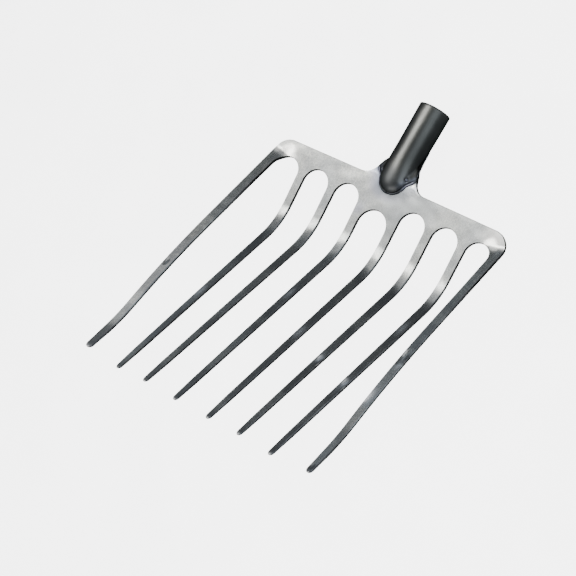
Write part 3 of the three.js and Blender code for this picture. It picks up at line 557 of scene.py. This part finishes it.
def bead_tree():
    """Weld metal: finer faces, ripples along the run, one finish."""
    tree = geometry_tree("bead_finish", {"Ripple Pitch": ("NodeSocketFloat", RIPPLE_PITCH),
                                         "Ripple Height": ("NodeSocketFloat", RIPPLE_HEIGHT),
                                         "Levels": ("NodeSocketInt", BEAD_LEVELS),
                                         "Finish": ("NodeSocketMaterial", None)})
    fine = tree.add("GeometryNodeSubdivisionSurface", {0: tree.inputs["Mesh"], "Level": tree.inputs["Levels"]})
    along = tree.add("GeometryNodeInputNamedAttribute", {"Name": "along"}, data_type="FLOAT").outputs[0]
    turn = tree.maths("MULTIPLY", tree.maths("DIVIDE", along, tree.inputs["Ripple Pitch"]), 2 * math.pi)
    wave = tree.maths("MULTIPLY", tree.maths("SINE", turn), tree.inputs["Ripple Height"])
    facing = tree.add("GeometryNodeInputNormal").outputs[0]
    shift = tree.add("ShaderNodeVectorMath", {0: facing, "Scale": wave}, operation="SCALE").outputs[0]
    rippled = tree.add("GeometryNodeSetPosition", {0: fine.outputs[0], "Offset": shift}).outputs[0]
    smooth = tree.add("GeometryNodeSetShadeSmooth", {0: rippled}).outputs[0]
    plain = tree.add("GeometryNodeRealizeInstances", {0: smooth}).outputs[0]
    done = tree.add("GeometryNodeSetMaterial", {0: plain, "Material": tree.inputs["Finish"]})
    tree.add("NodeGroupOutput", {0: done.outputs[0]})
    return tree


def run_tree(piece, tree, values, weigh_normals=False):
    """Runs the tree on the piece and leaves a plain mesh, its normals pulled to the larger faces if weighed."""
    modifier = piece.modifiers.new(tree.tree.name, "NODES")
    modifier.node_group = tree.tree
    for socket in tree.tree.interface.items_tree:
        if socket.in_out == "INPUT" and socket.name in values:
            modifier[socket.identifier] = values[socket.name]
    if weigh_normals:
        weighed = piece.modifiers.new("weighed", "WEIGHTED_NORMAL")
        weighed.weight = NORMAL_WEIGHT
        weighed.keep_sharp = True
    seen = piece.evaluated_get(bpy.context.evaluated_depsgraph_get())
    made = bpy.data.meshes.new_from_object(seen)
    piece.modifiers.clear()
    piece.data = made


def settle(piece, node):
    """Hangs the piece under the root body and hides the CAD node that it stands for."""
    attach(piece, "root")
    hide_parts(node)


def dress_blade(sheet):
    """The one sheet-steel stamping, with its widened tines and dark sheared sides."""
    blade = merged_copy("blade", "blade_sheet")
    fill_out_tines(blade)
    mark_sheared(blade)
    run_tree(blade, sheet, {"Face Finish": blade_steel(), "Side Finish": sheared_edge()}, weigh_normals=True)
    settle(blade, "blade")
    return blade


def dress_socket(sheet):
    """The drawn tube with its nose and flared foot, all under one oxide."""
    oxide = socket_oxide()
    socket = merged_copy("socket", "socket_tube")
    run_tree(socket, sheet, {"Crease Angle": SOCKET_CREASE, "Face Finish": oxide, "Side Finish": oxide},
             weigh_normals=True)
    settle(socket, "socket")
    return socket


def dress_welds():
    """The five weld beads; the round plug welds have no ripples."""
    tree, finish = bead_tree(), weld_metal()
    welds = []
    for node in ("nose_weld", "neck_weld_left", "neck_weld_right", "plug_weld_left", "plug_weld_right"):
        weld = merged_copy(node, node.replace("weld", "bead"))
        mark_along(weld)
        ripple = 0.0 if node.startswith("plug") else RIPPLE_HEIGHT
        run_tree(weld, tree, {"Finish": finish, "Ripple Height": ripple})
        settle(weld, node)
        welds.append(weld)
    return welds


def photo_camera():
    """The camera that took the photograph, turned by its roll."""
    azimuth, elevation, roll = CAMERA_AZIMUTH, CAMERA_ELEVATION, CAMERA_ROLL
    back = Vector((math.sin(azimuth) * math.cos(elevation), -math.cos(azimuth) * math.cos(elevation),
                   math.sin(elevation)))
    level = Vector((math.cos(azimuth), math.sin(azimuth), 0))
    lifted = back.cross(level)
    right = level * math.cos(roll) + lifted * math.sin(roll)
    up = lifted * math.cos(roll) - level * math.sin(roll)
    camera = bpy.data.cameras.new("photo_camera")
    camera.lens = CAMERA_LENS
    camera.sensor_width = CAMERA_SENSOR
    camera.clip_start, camera.clip_end = CAMERA_CLIP
    holder = bpy.data.objects.new("photo_camera", camera)
    holder.matrix_world = Matrix((right, up, back)).transposed().to_4x4()
    holder.location = CAMERA_PLACE
    bpy.context.scene.collection.objects.link(holder)
    bpy.context.scene.camera = holder


def softbox(name, toward, size, glow, colour, distance, lit):
    """A flat soft light seen from the head in that direction: its width lies along X, its glow is its radiance.

    With a list of pieces in lit it lights only those.
    """
    light = bpy.data.lights.new(name, "AREA")
    light.shape = "RECTANGLE"
    light.size, light.size_y = size
    light.energy = glow * math.pi * size[0] * size[1]
    light.color = colour
    back = Vector(toward).normalized()
    side = (Vector((1, 0, 0)) - back * back.x).normalized()
    holder = bpy.data.objects.new(name, light)
    holder.matrix_world = Matrix((side, back.cross(side), back)).transposed().to_4x4()
    holder.location = Vector(LIGHTS_AIM) + back * distance
    holder.visible_camera = False
    bpy.context.scene.collection.objects.link(holder)
    if lit is not None:
        lit_pieces = bpy.data.collections.new(name + "_lit")
        for piece in lit:
            lit_pieces.objects.link(piece)
        holder.light_linking.receiver_collection = lit_pieces
        holder.light_linking.blocker_collection = lit_pieces


def paper_floor():
    """A plain pale floor just under the head, kept out of the steel's reflections."""
    low, reach = cad_box[0][2] - FLOOR_GAP, FLOOR_REACH
    mesh = bpy.data.meshes.new("floor")
    mesh.from_pydata([(-reach, -reach, low), (reach, -reach, low), (reach, reach, low), (-reach, reach, low)],
                     [], [(0, 1, 2, 3)])
    mesh.materials.append(pale_paper())
    floor = bpy.data.objects.new("floor", mesh)
    floor.visible_glossy = False
    bpy.context.scene.collection.objects.link(floor)
    return floor


def studio(blade, socket, welds):
    """Floor, dim world light and the soft lights."""
    floor = paper_floor()
    world = bpy.data.worlds.new("studio")
    world.use_nodes = True
    background = world.node_tree.nodes["Background"]
    background.inputs["Color"].default_value = WORLD_COLOUR
    background.inputs["Strength"].default_value = WORLD_GLOW
    bpy.context.scene.world = world
    lit = {"all": None, "blade": [blade], "socket": [socket, *welds], "floor": [floor]}
    for name, toward, size, glow, colour, distance, lights in SOFTBOXES:
        softbox(name, toward, size, glow, colour, distance, lit[lights])


sheet = sheet_tree()
blade = dress_blade(sheet)
socket = dress_socket(sheet)
welds = dress_welds()
photo_camera()
studio(blade, socket, welds)

bpy.context.view_layer.update()
